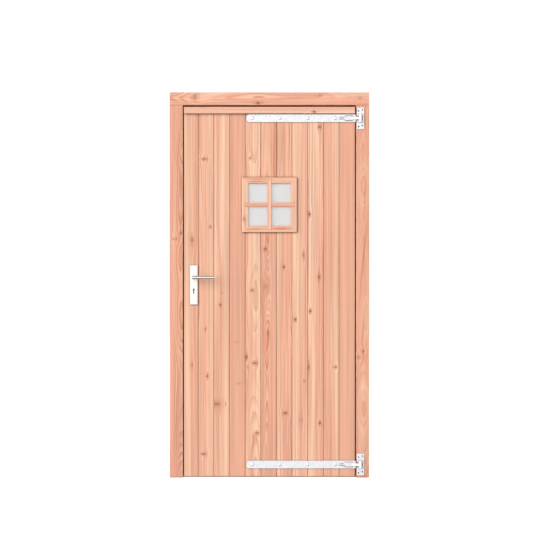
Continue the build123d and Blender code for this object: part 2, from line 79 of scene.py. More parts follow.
# The ways in which the two lights shine
KEY_TOWARDS = Vector((0.82, 1.0, -0.39))
FILL_TOWARDS = Vector((-0.7, -1.0, -0.5))

# How high the screws of a stile's first row sit
STILE_SCREW_HEIGHTS = (0.075, 0.38, 0.71, 1.27, 1.60, 1.93)


class Knot(NamedTuple):
    """A knot: its middle across and along the grain, half its width and height, and how dark it is."""

    across: float
    along: float
    wide: float = 0.007
    tall: float = 0.006
    dark: float = 0.8


class Stain(NamedTuple):
    """A reddish streak: its middle across and along the grain, half its width and length, depth and lean."""

    across: float
    along: float
    wide: float = 0.006
    tall: float = 0.15
    deep: float = 0.4
    lean: float = 0.0


class Cut(NamedTuple):
    """How a length of timber was cut from its log, in metres about its middle line."""

    seed: float
    pith: tuple = (0.03, 0.07)
    heart: tuple = (-0.1, 0.1)
    soft: float = 0.02
    flame: float = 0.006
    light: float = 1.0
    red: float = 0.0
    rings: float = 1.0
    streaks: float = 1.0
    knots: tuple = ()
    stains: tuple = ()


# The boards from the latch edge to the hinge edge; knots are measured from the board's middle and the floor
BOARDS = {
    "latch_board_1": Cut(
        seed=1.3,
        pith=(-0.12, 0.06),
        heart=(0.004, 0.1),
        soft=0.035,
        knots=(Knot(0.004, 1.294, 0.011, 0.016, 0.45), Knot(0.004, 0.613, 0.006, 0.010, 0.45)),
        stains=(Stain(0.026, 1.45, 0.004, 0.70, 0.35), Stain(0.006, 1.27, 0.012, 0.10, 0.25)),
    ),
    "latch_board_2": Cut(
        seed=2.9,
        light=0.985,
        pith=(-0.05, 0.07),
        heart=(-0.1, 0.010),
        soft=0.018,
        knots=(
            Knot(-0.007, 1.735, 0.020, 0.006, 0.55),
            Knot(0.026, 1.365, 0.008, 0.006, 0.6),
            Knot(-0.001, 0.809, 0.006, 0.007, 0.5),
            Knot(0.010, 0.553, 0.007, 0.010, 0.75),
            Knot(-0.012, 0.129, 0.016, 0.005, 0.7),
        ),
    ),
    "latch_board_3": Cut(
        seed=4.1,
        light=1.02,
        pith=(-0.07, 0.10),
        heart=(-0.1, -0.008),
        soft=0.042,
        knots=(
            Knot(-0.005, 0.940, 0.007, 0.005, 1.0),
            Knot(0.004, 1.004, 0.004, 0.003, 0.5),
            Knot(-0.024, 0.401, 0.020, 0.009, 0.6),
            Knot(0.020, 0.401, 0.006, 0.006, 0.45),
        ),
    ),
    "latch_board_4": Cut(
        seed=5.7,
        pith=(0.25, 0.12),
        flame=0.003,
        light=0.98,
        red=0.015,
        rings=0.8,
        streaks=0.8,
        stains=(Stain(0.012, 0.512, 0.026, 0.012, 0.35), Stain(-0.002, 0.738, 0.028, 0.012, 0.25)),
    ),
    "window_board_1": Cut(
        seed=7.2,
        pith=(0.01, 0.10),
        heart=(-0.1, 0.004),
        soft=0.050,
        flame=0.012,
        streaks=1.2,
        knots=(
            Knot(-0.012, 1.740, 0.007, 0.006, 0.7),
            Knot(-0.001, 1.021, 0.010, 0.006, 0.7),
            Knot(-0.033, 0.657, 0.008, 0.008, 1.0),
            Knot(0.013, 0.624, 0.016, 0.006, 0.75),
            Knot(-0.023, 0.602, 0.004, 0.007, 0.8),
            Knot(0.026, 0.243, 0.015, 0.008, 0.6),
        ),
    ),
    "window_board_2": Cut(
        seed=8.4,
        pith=(-0.002, 0.022),
        flame=0.022,
        light=0.985,
        red=0.015,
        rings=1.5,
        knots=(
            Knot(-0.015, 1.245, 0.009, 0.008, 0.85),
            Knot(0.001, 0.785, 0.006, 0.022, 0.5),
            Knot(-0.012, 1.040, 0.016, 0.018, 0.3),
        ),
        stains=(
            Stain(0.036, 1.76, 0.012, 0.42, 0.55),
            Stain(0.020, 1.80, 0.007, 0.30, 0.30),
            Stain(-0.026, 0.90, 0.013, 0.45, 0.40, -0.02),
            Stain(-0.004, 0.66, 0.008, 0.30, 0.35, 0.05),
        ),
    ),
    "window_board_3": Cut(
        seed=9.8,
        pith=(0.06, 0.06),
        heart=(-0.010, 0.1),
        soft=0.014,
        flame=0.012,
        rings=1.2,
        streaks=1.2,
        knots=(Knot(0.000, 1.147, 0.008, 0.007, 0.85), Knot(0.008, 0.352, 0.013, 0.006, 0.85)),
        stains=(
            Stain(-0.036, 1.80, 0.012, 0.40, 0.50),
            Stain(-0.010, 1.79, 0.008, 0.26, 0.40, 0.06),
            Stain(-0.020, 1.85, 0.030, 0.30, 0.25),
        ),
    ),
    "hinge_board_4": Cut(
        seed=11.1,
        light=1.03,
        red=-0.01,
        pith=(0.10, 0.07),
        heart=(0.004, 0.1),
        soft=0.040,
        knots=(
            Knot(0.024, 1.212, 0.008, 0.014, 0.6),
            Knot(-0.022, 0.861, 0.008, 0.007, 0.95),
            Knot(0.027, 0.526, 0.006, 0.006, 0.45),
            Knot(0.010, 0.314, 0.010, 0.010, 0.25),
        ),
    ),
    "hinge_board_3": Cut(
        seed=12.6,
        light=1.01,
        red=-0.015,
        pith=(0.08, 0.09),
        heart=(0.004, 0.1),
        soft=0.010,
        streaks=1.5,
        knots=(
            Knot(0.026, 1.909, 0.011, 0.007, 0.7),
            Knot(-0.031, 1.435, 0.008, 0.008, 1.0),
            Knot(0.023, 1.092, 0.009, 0.010, 0.65),
            Knot(-0.026, 0.907, 0.008, 0.007, 0.95),
            Knot(-0.034, 0.602, 0.006, 0.018, 0.7),
            Knot(0.026, 0.297, 0.008, 0.007, 0.95),
        ),
    ),
    "hinge_board_2": Cut(
        seed=14.0,
        pith=(-0.09, 0.08),
        heart=(-0.1, 0.020),
        soft=0.012,
        knots=(Knot(0.026, 0.602, 0.014, 0.005, 0.6),),
    ),
    "hinge_board_1": Cut(
        seed=15.5,
        pith=(0.28, 0.14),
        flame=0.003,
        light=0.985,
        rings=0.8,
        streaks=0.6,
    ),
}

POSTS = {
    "latch_post": Cut(
        seed=21.4,
        pith=(0.034, 0.02),
        flame=0.020,
        light=0.98,
        red=0.02,
        rings=1.3,
        streaks=0.8,
        knots=(Knot(0.024, 1.332, 0.007, 0.008, 0.85), Knot(-0.010, 1.300, 0.022, 0.006, 0.35)),
        stains=(
            Stain(0.027, 1.92, 0.007, 0.16, 0.40),
            Stain(0.012, 1.80, 0.007, 0.14, 0.35, 0.05),
            Stain(0.026, 1.56, 0.009, 0.20, 0.60),
            Stain(0.013, 0.42, 0.006, 0.30, 0.40, 0.04),
            Stain(0.001, 0.28, 0.006, 0.26, 0.35, 0.04),
        ),
    ),
    "hinge_post": Cut(
        seed=24.8,
        pith=(0.012, 0.03),
        flame=0.022,
        light=0.98,
        red=0.02,
        rings=1.3,
        streaks=0.8,
        knots=(Knot(0.004, 0.689, 0.006, 0.008, 0.9), Knot(-0.020, 0.655, 0.018, 0.006, 0.3)),
        stains=(
            Stain(0.001, 1.76, 0.006, 0.14, 0.40),
            Stain(0.012, 1.52, 0.007, 0.16, 0.35, 0.05),
            Stain(0.008, 1.22, 0.008, 0.26, 0.60, 0.07),
            Stain(-0.008, 1.06, 0.006, 0.22, 0.40, 0.06),
            Stain(0.002, 0.80, 0.007, 0.16, 0.65, 0.02),
        ),
    ),
}

# Level timbers; knots are measured from the middle of the timber and from the hinge side of the door frame
HEAD_RAIL = Cut(
    seed=26.2,
    pith=(0.012, 0.02),
    heart=(-0.1, 0.010),
    soft=0.030,
    flame=0.014,
    rings=1.2,
    knots=(
        Knot(0.009, 0.948, 0.022, 0.012, 0.4),
        Knot(-0.023, 0.605, 0.010, 0.012, 0.75),
        Knot(0.018, 0.268, 0.008, 0.012, 0.5),
        Knot(0.004, 0.050, 0.010, 0.014, 0.35),
    ),
)
DRIP_STRIP = Cut(
    seed=28.7,
    red=-0.05,
    pith=(0.05, 0.06),
    heart=(0.006, 0.1),
    soft=0.012,
    knots=(Knot(-0.009, 0.300, 0.007, 0.008, 0.8),),
)
TRIM_SIDES = Cut(
    seed=31.5,
    pith=(0.2, 0.04),
    heart=(0.2, 0.3),
    light=1.08,
    red=-0.04,
    knots=(Knot(-0.138, 1.408, 0.008, 0.009, 0.5),),
    stains=(
        Stain(-0.130, 1.385, 0.006, 0.05, 0.35, 0.1),
        Stain(-0.124, 1.53, 0.004, 0.10, 0.2),
        Stain(0.135, 1.486, 0.04, 0.3, 0.12),
    ),
)
TRIM_RAILS = Cut(
    seed=33.1,
    pith=(0.3, 0.03),
    light=1.02,
    red=0.04,
    stains=(
        Stain(0.127, 0.615, 0.006, 0.090, 0.70),
        Stain(0.139, 0.600, 0.005, 0.100, 0.55),
        Stain(-0.132, 0.475, 0.009, 0.090, 0.70),
        Stain(-0.134, 0.625, 0.007, 0.080, 0.50),
    ),
)
UPRIGHT_BAR = Cut(seed=35.6, pith=(0.08, 0.05), heart=(0.2, 0.3), light=1.06, red=-0.05)
CROSS_BAR = Cut(
    seed=37.8, pith=(0.07, 0.05), light=0.97, red=0.02, stains=(Stain(-0.007, 0.545, 0.004, 0.2, 0.4),)
)

FRAMING = {
    "lock_stile": Cut(
        seed=41.0, pith=(-0.05, 0.06), heart=(-0.1, 0.02), knots=(Knot(0.02, 0.42), Knot(-0.03, 1.62))
    ),
    "hinge_stile": Cut(
        seed=42.7, pith=(0.06, 0.05), flame=0.015, knots=(Knot(-0.01, 0.86), Knot(0.03, 1.47))
    ),
    "top_rail": Cut(seed=44.3, pith=(0.02, 0.05), flame=0.014, knots=(Knot(0.02, 0.38), Knot(-0.03, 0.71))),
    "lock_rail": Cut(seed=45.9, pith=(-0.05, 0.08), heart=(-0.1, 0.02), knots=(Knot(-0.02, 0.55),)),
    "bottom_rail": Cut(
        seed=47.2, pith=(0.03, 0.06), heart=(-0.03, 0.1), knots=(Knot(0.03, 0.30), Knot(-0.02, 0.62))
    ),
    "brace": Cut(seed=48.8, pith=(0.05, 0.07), flame=0.012, knots=(Knot(0.01, 0.22), Knot(-0.02, 0.61))),
}
STOPS = {
    "hinge_stop": (Cut(seed=51.2, pith=(0.05, 0.06)), UPRIGHT),
    "latch_stop": (Cut(seed=52.5, pith=(-0.05, 0.06)), UPRIGHT),
    "head_stop": (Cut(seed=53.9, pith=(0.05, 0.06)), LEVEL),
    "sill_stop": (Cut(seed=55.1, pith=(0.05, 0.06)), LEVEL),
}


def colour(label, about, default):
    """A colour that the sidebar shows."""
    return FloatVectorProperty(
        name=label, description=about, subtype="COLOR", size=3, min=0.0, max=1.0, default=default
    )


def length(label, about, default):
    """A length in metres that the sidebar shows."""
    return FloatProperty(name=label, description=about, unit="LENGTH", min=0.0, precision=4, default=default)


def share(label, about, default, most=1.0):
    """A plain number from nothing upwards that the sidebar shows."""
    return FloatProperty(name=label, description=about, min=0.0, max=most, default=default)


class TimberSettings(bpy.types.PropertyGroup):
    """Colours and grain of the planed softwood."""

    sapwood: colour("Sapwood", "The pale outer wood of the log", (0.628, 0.390, 0.269))
    heartwood: colour("Heartwood", "The salmon inner wood of the log", (0.590, 0.300, 0.203))
    latewood: colour("Latewood", "The dark line at the end of each ring", (0.450, 0.165, 0.092))
    stain: colour("Stain", "The reddish streaks of resin", (0.380, 0.105, 0.050))
    knot: colour("Knot", "The core of a knot", (0.200, 0.072, 0.034))
    knot_halo: colour("Knot halo", "The reddish wood round a knot", (0.420, 0.140, 0.072))
    ring_width: length("Ring width", "How far apart the year rings lie", 0.0036)
    ring_contrast: share("Ring contrast", "How strongly the latewood shows", 0.46)
    band_contrast: share("Band contrast", "How far broad bands turn pale or salmon", 2.4, 5.0)
    thread_contrast: share("Thread contrast", "How far narrow bands turn pale or salmon", 3.0, 5.0)
    streak_contrast: share("Streak contrast", "How much narrow streaks differ in lightness", 0.80)
    fibre_contrast: share("Fibre contrast", "How much the fine fibres differ in lightness", 0.20)
    # Painted shade in joints, gaps and corners: the colour the wood is darkened to there, and how far from a
    # nearby surface it reaches
    grime: colour("Grime", "What is left of the wood's colour in joints and corners", (0.40, 0.27, 0.20))
    grime_reach: length("Grime reach", "How far from a corner the wood darkens", 0.012)
    roughness: share("Roughness", "How matt the planed faces are", 0.62)
    relief: length("Relief", "How far fibres and latewood stand out", 0.0004)


class GlassSettings(bpy.types.PropertyGroup):
    """The window's pane."""

    tint: colour("Tint", "What is left of white light behind the pane", (0.720, 0.712, 0.702))
    roughness: share("Roughness", "How much the pane blurs what is behind it", 0.08)
    clear: share("Clear", "How much of the light goes through the pane", 0.75)
    index: FloatProperty(
        name="Index", description="How strongly the glass bends light", min=1.0, default=1.45
    )


class MetalSettings(bpy.types.PropertyGroup):
    """Finishes of the hinges, the handle, the lock and the fixings."""

    zinc: colour("Zinc", "Hot-dipped zinc on the hinges", (0.700, 0.706, 0.728))
    zinc_bare: share("Bare zinc", "How much of the zinc is bare metal and not dull oxide", 0.65)
    zinc_roughness: share("Zinc roughness", "How matt the zinc is", 0.30)
    # Painted shade between the hinge pieces and in corners: the colour the zinc is darkened to there, and
    # how far from a nearby surface it reaches
    grime: colour("Grime", "What is left of the zinc's colour between its pieces", (0.22, 0.22, 0.24))
    grime_reach: length("Grime reach", "How far from a corner the zinc darkens", 0.009)
    spangle: length("Spangle", "How large the zinc's crystals are", 0.009)
    handle: colour("Handle", "Satin metal of the levers", (0.930, 0.925, 0.915))
    lock_plate: colour("Lock plate", "Satin metal of the plates behind the levers", (0.805, 0.801, 0.785))
    handle_roughness: share("Handle roughness", "How matt the handle is", 0.27)
    lock: colour("Lock", "Plated steel of the lock and the strike", (0.58, 0.585, 0.60))
    lock_roughness: share("Lock roughness", "How matt the plated steel is", 0.34)
    # The same near-black steel colours the levers behind the keyhole, where it is partly painted shade
    screw: colour("Screw", "Dark screws in the hinge plates", (0.030, 0.030, 0.036))
    screw_roughness: share("Screw roughness", "How matt the dark screws are", 0.42)


class FixingSettings(bpy.types.PropertyGroup):
    """Sizes and places of bolts, nuts, screws and nails."""

    bolt_from_tip: length("Bolt from tip", "From a strap's tip to its first bolt", 0.034)
    bolt_spacing: length("Bolt spacing", "Between the bolts of a strap", 0.150)
    bolts: IntProperty(name="Bolts", description="Bolts in each strap", min=1, default=4)
    bolt_head: length("Bolt head", "Radius of a bolt's domed head", 0.0085)
    bolt_dome: length("Bolt dome", "How far a bolt's head stands out", 0.0030)
    bolt_shank: length("Bolt shank", "Radius of a bolt", 0.0039)
    nut: length("Nut", "Half the width across a nut's corners", 0.0075)
    nut_bevel: length("Nut bevel", "Height of a nut's bevel", 0.0008)
    bolt_end: length("Bolt end", "How far a bolt stands out of its nut", 0.004)
    thread_pitch: length("Thread pitch", "Between the ridges of a bolt's thread", 0.00125)
    nut_height: length("Nut height", "Height of a nut", 0.0064)
    washer: length("Washer", "Radius of a washer", 0.0115)
    washer_thick: length("Washer thickness", "Thickness of a washer", 0.0016)
    plate_screw: length("Plate screw", "Radius of a screw head in a hinge plate", 0.0039)
    plate_screw_rise: length("Plate screw rise", "From the post's face to a plate screw's rim", 0.0026)
    plate_screw_inner: FloatVectorProperty(
        name="Inner plate screw",
        description="From a plate's middle to the screw nearer to the lugs",
        size=2,
        subtype="XYZ_LENGTH",
        default=(-0.0105, 0.040),
    )
    plate_screw_outer: FloatVectorProperty(
        name="Outer plate screw",
        description="From a plate's middle to the screw at its corner",
        size=2,
        subtype="XYZ_LENGTH",
        default=(0.0105, 0.046),
    )
    framing_screw: length("Framing screw", "Radius of a screw head in the framing", 0.0042)
    framing_inset: length("Framing inset", "From a stile's edge to its screws", 0.028)
    framing_stagger: length("Framing stagger", "How much higher a stile's second row of screws sits", 0.030)
    rail_screws: IntProperty(name="Rail screws", description="Screws in each rail", min=1, default=7)
    rail_stagger: length("Rail stagger", "From a rail's middle line to its screws", 0.024)
    lock_screw: length("Lock screw", "Radius of a screw head in the forend and the strike", 0.0035)
    lock_screw_inset: length("Lock screw inset", "From the end of a forend or strike to its screw", 0.012)
    key_drop: length("Key drop", "From the lever's axis down to the middle of the lock's own levers", 0.074)
    lock_lever: length("Lock lever", "Radius of the levers that stand behind the keyhole", 0.018)
    lock_lever_thick: length("Lock lever thickness", "Thickness of the pack of levers", 0.006)
    nail_inset: length("Nail inset", "From the trim's outer edge to its nails", 0.0175)
    nail: length("Nail", "Radius of a nail head in the window trim", 0.0013)


class StageSettings(bpy.types.PropertyGroup):
    """The floor, the light and the camera."""

    floor: colour("Floor", "The plain pale floor", (0.93, 0.93, 0.93))
    floor_size: length("Floor size", "Length of the floor's sides", 60.0)
    floor_glow: share("Floor glow", "Light that the floor gives off, which washes out shadows", 0.75, 5.0)
    sky: share("Sky", "Brightness of the white surroundings", 1.03, 5.0)
    zenith: share("Zenith", "Brightness of the surroundings straight above", 0.14, 5.0)
    nadir: share("Nadir", "Brightness of the surroundings straight below", 0.08, 5.0)
    key_strength: share("Key strength", "Strength of the light from the front", 3.35, 20.0)
    fill_strength: share("Fill strength", "Strength of the light from behind", 1.6, 20.0)
    light_angle: FloatProperty(
        name="Light angle",
        description="How wide the two lights look",
        subtype="ANGLE",
        min=0.0,
        default=math.radians(55),
    )
    camera_distance: length("Camera distance", "From the camera to the front of the boards", 14.0)
    camera_across: FloatProperty(
        name="Camera across",
        description="Where the camera stands across the door, from its hinge side",
        unit="LENGTH",
        default=-0.5373,
    )
    camera_height: length("Camera height", "From the floor to the camera", 1.128)
    field: length("Field", "Width of the picture at the front of the boards", 2.946)


class NodeWriter:
    """Adds nodes to a tree and feeds their sockets with values or with other nodes."""

    def __init__(self, tree):
        self.tree = tree

    def node(self, kind, feeds=None, **settings):
        made = self.tree.nodes.new(kind)
        for name, value in settings.items():
            setattr(made, name, value)
        for socket, value in (feeds or {}).items():
            self.feed(made.inputs[socket], value)
        return made

    def feed(self, socket, value):
        if isinstance(value, bpy.types.NodeSocket):
            self.tree.links.new(value, socket)
        else:
            socket.default_value = value

    def math(self, operation, *values, clamp=False):
        feeds = dict(enumerate(values))
        return self.node("ShaderNodeMath", feeds, operation=operation, use_clamp=clamp).outputs[0]

    def vector(self, operation, *values):
        made = self.node("ShaderNodeVectorMath", dict(enumerate(values)), operation=operation)
        return made.outputs["Value" if operation == "LENGTH" else "Vector"]

    def parts(self, vector):
        return self.node("ShaderNodeSeparateXYZ", {"Vector": vector}).outputs

    def join(self, x, y, z):
        return self.node("ShaderNodeCombineXYZ", {"X": x, "Y": y, "Z": z}).outputs[0]

    def noise(self, place, stretch, detail=2.0):
        """Noise from 0 to 1, with so many features to a metre on each axis."""
        scaled = self.vector("MULTIPLY", place, stretch)
        return self.node("ShaderNodeTexNoise", {"Vector": scaled, "Scale": 1.0, "Detail": detail}).outputs[0]

    def swing(self, value, size):
        """A value from 0 to 1 turned into one from minus half the size to plus half of it."""
        return self.math("MULTIPLY", self.math("SUBTRACT", value, 0.5), size)

    def group(self, tree, feeds):
        """A node group fed by the names of its inputs, and its outputs."""
        return self.node("ShaderNodeGroup", feeds, node_tree=tree).outputs

    def ease(self, value, low, high, start=0.0, end=1.0):
        feeds = {"Value": value, "From Min": low, "From Max": high, "To Min": start, "To Max": end}
        return self.node("ShaderNodeMapRange", feeds, interpolation_type="SMOOTHSTEP").outputs["Result"]

    def mix(self, share_of_second, first, second, blend="MIX"):
        made = self.node("ShaderNodeMix", data_type="RGBA", blend_type=blend)
        self.feed(made.inputs[0], share_of_second)
        self.feed(made.inputs[6], first)
        self.feed(made.inputs[7], second)
        return made.outputs[2]

    def crevices(self, reach, shade_colour):
        """Painted shade: a tint that is white on open faces and goes to the shade's colour in joints, gaps
        and corners, wherever ambient occlusion finds surfaces close by.
        """
        openness = self.node("ShaderNodeAmbientOcclusion", {"Distance": reach}, samples=8).outputs["AO"]
        return self.mix(self.ease(openness, 0.25, 0.98), opaque(shade_colour), opaque((1.0, 1.0, 1.0)))


def opaque(rgb):
    """A colour with its fourth number."""
    return (*rgb, 1.0)


def node_group(name, inputs, outputs):
    """An empty node group with its sockets, and the writer, inputs and outputs to fill it with."""
    group = bpy.data.node_groups.new(name, "ShaderNodeTree")
    for label, kind in inputs.items():
        group.interface.new_socket(label, in_out="INPUT", socket_type=f"NodeSocket{kind}")
    for label, kind in outputs.items():
        group.interface.new_socket(label, in_out="OUTPUT", socket_type=f"NodeSocket{kind}")
    write = NodeWriter(group)
    return group, write, write.node("NodeGroupInput").outputs, write.node("NodeGroupOutput").inputs


def knot_group():
    """Bends the grain round one knot and adds the knot to those before it."""
    if "Knot" in bpy.data.node_groups:
        return bpy.data.node_groups["Knot"]
    places = {"Across": "Float", "Along": "Float", "Wide": "Float", "Tall": "Float", "Dark": "Float"}
    carried = {"Grain": "Vector", "Core": "Float", "Halo": "Float"}
    group, write, given, result = node_group("Knot", {**carried, **places}, carried)
    across, depth, along = write.parts(given["Grain"])
    aside = write.math("SUBTRACT", across, given["Across"])
    above = write.math("SUBTRACT", along, given["Along"])
    wide = write.math("DIVIDE", aside, given["Wide"])
    tall = write.math("DIVIDE", above, given["Tall"])
    ragged = write.swing(write.noise(given["Grain"], (130.0, 60.0, 110.0), 1.0), 0.7)
    reach = write.math("ADD", write.vector("LENGTH", write.join(wide, tall, 0.0)), ragged)
    core = write.math("MULTIPLY", write.ease(reach, 0.45, 1.05, 1.0, 0.0), given["Dark"])
    # The stained wood runs out along the grain, above and below the knot
    stretched = write.join(wide, write.math("MULTIPLY", tall, 0.5), 0.0)
    stain = write.math("ADD", write.vector("LENGTH", stretched), ragged)
    halo = write.math("MULTIPLY", write.ease(stain, 0.6, 1.7, 1.0, 0.0), given["Dark"])
    around = write.vector("LENGTH", write.join(wide, write.math("MULTIPLY", tall, 0.35), 0.0))
    bow = write.ease(around, 0.2, 3.2, 0.75, 0.0)
    bent = write.math("SUBTRACT", across, write.math("MULTIPLY", aside, bow))
    write.feed(result["Grain"], write.join(bent, depth, along))
    write.feed(result["Core"], write.math("MAXIMUM", given["Core"], core))
    write.feed(result["Halo"], write.math("MAXIMUM", given["Halo"], halo))
    return group


def stain_group():
    """Adds one reddish streak to those before it."""
    if "Stain" in bpy.data.node_groups:
        return bpy.data.node_groups["Stain"]
    places = {label: "Float" for label in ("Across", "Along", "Wide", "Tall", "Deep", "Lean")}
    inputs = {"Grain": "Vector", "Stain": "Float", **places}
    group, write, given, result = node_group("Stain", inputs, {"Stain": "Float"})
    across, depth, along = write.parts(given["Grain"])
    above = write.math("SUBTRACT", along, given["Along"])
    middle = write.math("MULTIPLY_ADD", above, given["Lean"], given["Across"])
    wander = write.swing(write.noise(given["Grain"], (9.0, 9.0, 5.0), 2.0), 0.016)
    aside = write.math("ADD", write.math("SUBTRACT", across, middle), wander)
    wide = write.math("DIVIDE", aside, given["Wide"])
    tall = write.math("DIVIDE", above, given["Tall"])
    reach = write.vector("LENGTH", write.join(wide, tall, 0.0))
    streak = write.math("MULTIPLY", write.ease(reach, 0.1, 1.0, 1.0, 0.0), given["Deep"])
    write.feed(result["Stain"], write.math("MAXIMUM", given["Stain"], streak))
    return group


def timber_group(timber):
    """Year rings, heartwood, streaks and fibres of a length of softwood, from a place in its grain."""
    if "Softwood" in bpy.data.node_groups:
        return bpy.data.node_groups["Softwood"]
    numbers = ("Core", "Halo", "Stain", "Seed", "Pith across", "Pith depth", "Flame", "Rings")
    numbers += ("Heart from", "Heart to", "Soft", "Streaks")
    inputs = {"Grain": "Vector", "Tone": "Color", **{label: "Float" for label in numbers}}
    outputs = {"Colour": "Color", "Roughness": "Float", "Height": "Float"}
    group, write, given, result = node_group("Softwood", inputs, outputs)
    across, depth, along = write.parts(given["Grain"])
    shift = write.math("MULTIPLY", given["Seed"], 3.7)
    place = write.vector("ADD", given["Grain"], write.join(shift, given["Seed"], shift))

    # Rings lie round the pith of the log, which wanders along the length
    wander = write.swing(write.noise(place, (0.6, 0.6, 1.7), 1.0), 4.0)
    drift = write.math("MULTIPLY", wander, given["Flame"])
    sway = write.math("MULTIPLY", write.swing(write.noise(place, (0.5, 0.9, 1.1), 1.0), 3.0), given["Flame"])
    from_pith = write.join(
        write.math("SUBTRACT", write.math("ADD", across, sway), given["Pith across"]),
        write.math("SUBTRACT", write.math("ADD", depth, drift), given["Pith depth"]),
        0.0,
    )
    wave = write.swing(write.noise(place, (28.0, 28.0, 3.2), 2.0), 0.005)
    radius = write.math("ADD", write.vector("LENGTH", from_pith), wave)
    year = write.math("DIVIDE", radius, timber.ring_width)
    season = write.math("FRACT", year)
    late = write.math("MULTIPLY", write.ease(season, 0.30, 0.88), write.ease(season, 0.93, 1.0, 1.0, 0.0))
    growth = write.noise(write.join(year, given["Seed"], 0.0), (0.33, 1.0, 1.0), 2.0)
    strength = write.math("MULTIPLY", write.ease(growth, 0.35, 0.68, 0.25, 1.5), given["Rings"])
    dark_line = write.math("MULTIPLY", late, strength)

    # Heartwood fills a stretch across the piece and fades at its edges
    edge = write.math("ADD", across, write.swing(write.noise(place, (0.0, 0.0, 1.6), 2.0), 0.016))
    start, stop, soft = given["Heart from"], given["Heart to"], given["Soft"]
    after_start = write.ease(edge, write.math("SUBTRACT", start, soft), write.math("ADD", start, soft))
    stop_low, stop_high = write.math("SUBTRACT", stop, soft), write.math("ADD", stop, soft)
    before_stop = write.ease(edge, stop_low, stop_high, 1.0, 0.0)
    heart = write.math("MULTIPLY", after_start, before_stop)

    # Broad and narrow bands of growth follow the rings and break it up
    ringwise = write.join(radius, given["Seed"], along)
    band = write.swing(write.noise(ringwise, (62.0, 1.0, 0.5), 2.0), timber.band_contrast)
    thread = write.swing(write.noise(ringwise, (210.0, 1.0, 0.9), 2.0), timber.thread_contrast)
    bands = write.math("MULTIPLY", write.math("ADD", band, thread), given["Streaks"])
    heart = write.math("ADD", heart, bands, clamp=True)
    wood = write.mix(heart, opaque(timber.sapwood), opaque(timber.heartwood))
    line = write.math("MULTIPLY", dark_line, timber.ring_contrast, clamp=True)
    wood = write.mix(line, wood, opaque(timber.latewood))

    streak = write.noise(place, (125.0, 125.0, 1.2), 3.0)
    fibre = write.noise(place, (1500.0, 1500.0, 22.0), 2.0)
    cloud = write.noise(place, (5.0, 5.0, 1.4), 2.0)
    level = write.math("MULTIPLY_ADD", write.swing(streak, timber.streak_contrast), given["Streaks"], 1.0)
    level = write.math("ADD", level, write.swing(fibre, timber.fibre_contrast))
    level = write.math("ADD", level, write.swing(cloud, 0.12))
    wood = write.mix(1.0, wood, write.join(level, level, level), "MULTIPLY")
    wood = write.mix(1.0, wood, given["Tone"], "MULTIPLY")
    wood = write.mix(given["Stain"], wood, opaque(timber.stain))
    wood = write.mix(write.math("MULTIPLY", given["Halo"], 0.75), wood, opaque(timber.knot_halo))
    wood = write.mix(given["Core"], wood, opaque(timber.knot))

    gloss = write.math("ADD", timber.roughness, write.swing(fibre, 0.18))
    gloss = write.math("SUBTRACT", gloss, write.math("MULTIPLY", given["Core"], 0.15))
    height = write.math("ADD", write.math("MULTIPLY", dark_line, 0.35), write.math("MULTIPLY", fibre, 0.65))
    write.feed(result["Colour"], wood)
    write.feed(result["Roughness"], gloss)
    write.feed(result["Height"], height)
    return group


def bare_material(name):
    """A new material with only its output and its main shader."""
    material = bpy.data.materials.new(name)
    material.use_nodes = True
    material.node_tree.nodes.clear()
    write = NodeWriter(material.node_tree)
    surface = write.node("ShaderNodeBsdfPrincipled")
    write.node("ShaderNodeOutputMaterial", {"Surface": surface.outputs[0]})
    return material, write, surface


def timber_material(name, cut, turn, zero, timber):
    """Softwood for one piece, whose grain runs upright, level or at a turn between, from its zero point."""
    material, write, surface = bare_material(f"timber_{name}")
    at = write.node("ShaderNodeTexCoord").outputs["Object"]
    grain = write.node(
        "ShaderNodeMapping",
        {"Vector": at, "Location": zero, "Rotation": (0.0, turn, 0.0)},
        vector_type="TEXTURE",
    ).outputs[0]
    carried = {"Grain": grain}
    for stain in cut.stains:
        facts = {label.capitalize(): value for label, value in stain._asdict().items()}
        carried["Stain"] = write.group(stain_group(), {**carried, **facts})["Stain"]
    for knot in cut.knots:
        facts = {label.capitalize(): value for label, value in knot._asdict().items()}
        bent = {label: value for label, value in carried.items() if label != "Stain"}
        seat = write.group(knot_group(), {**bent, **facts})
        carried |= {label: seat[label] for label in ("Grain", "Core", "Halo")}
    facts = {"Seed": cut.seed, "Pith across": cut.pith[0], "Pith depth": cut.pith[1], "Flame": cut.flame}
    facts |= {"Heart from": cut.heart[0], "Heart to": cut.heart[1], "Soft": cut.soft}
    facts |= {"Rings": cut.rings, "Streaks": cut.streaks}
    facts["Tone"] = opaque((cut.light, cut.light * (1.0 - cut.red), cut.light * (1.0 - 1.5 * cut.red)))
    wood = write.group(timber_group(timber), {**carried, **facts})
    # Painted shade: joints, gaps and corners are darkened where ambient occlusion finds surfaces close by,
    # standing in for the shade that falls there
    tinted = write.mix(1.0, wood["Colour"], write.crevices(timber.grime_reach, timber.grime), "MULTIPLY")
    bump = {"Strength": 0.5, "Distance": timber.relief, "Height": wood["Height"]}
    relief = write.node("ShaderNodeBump", bump)
    write.feed(surface.inputs["Base Color"], tinted)
    write.feed(surface.inputs["Roughness"], wood["Roughness"])
    write.feed(surface.inputs["Normal"], relief.outputs[0])
    surface.inputs["Specular IOR Level"].default_value = 0.3
    return material


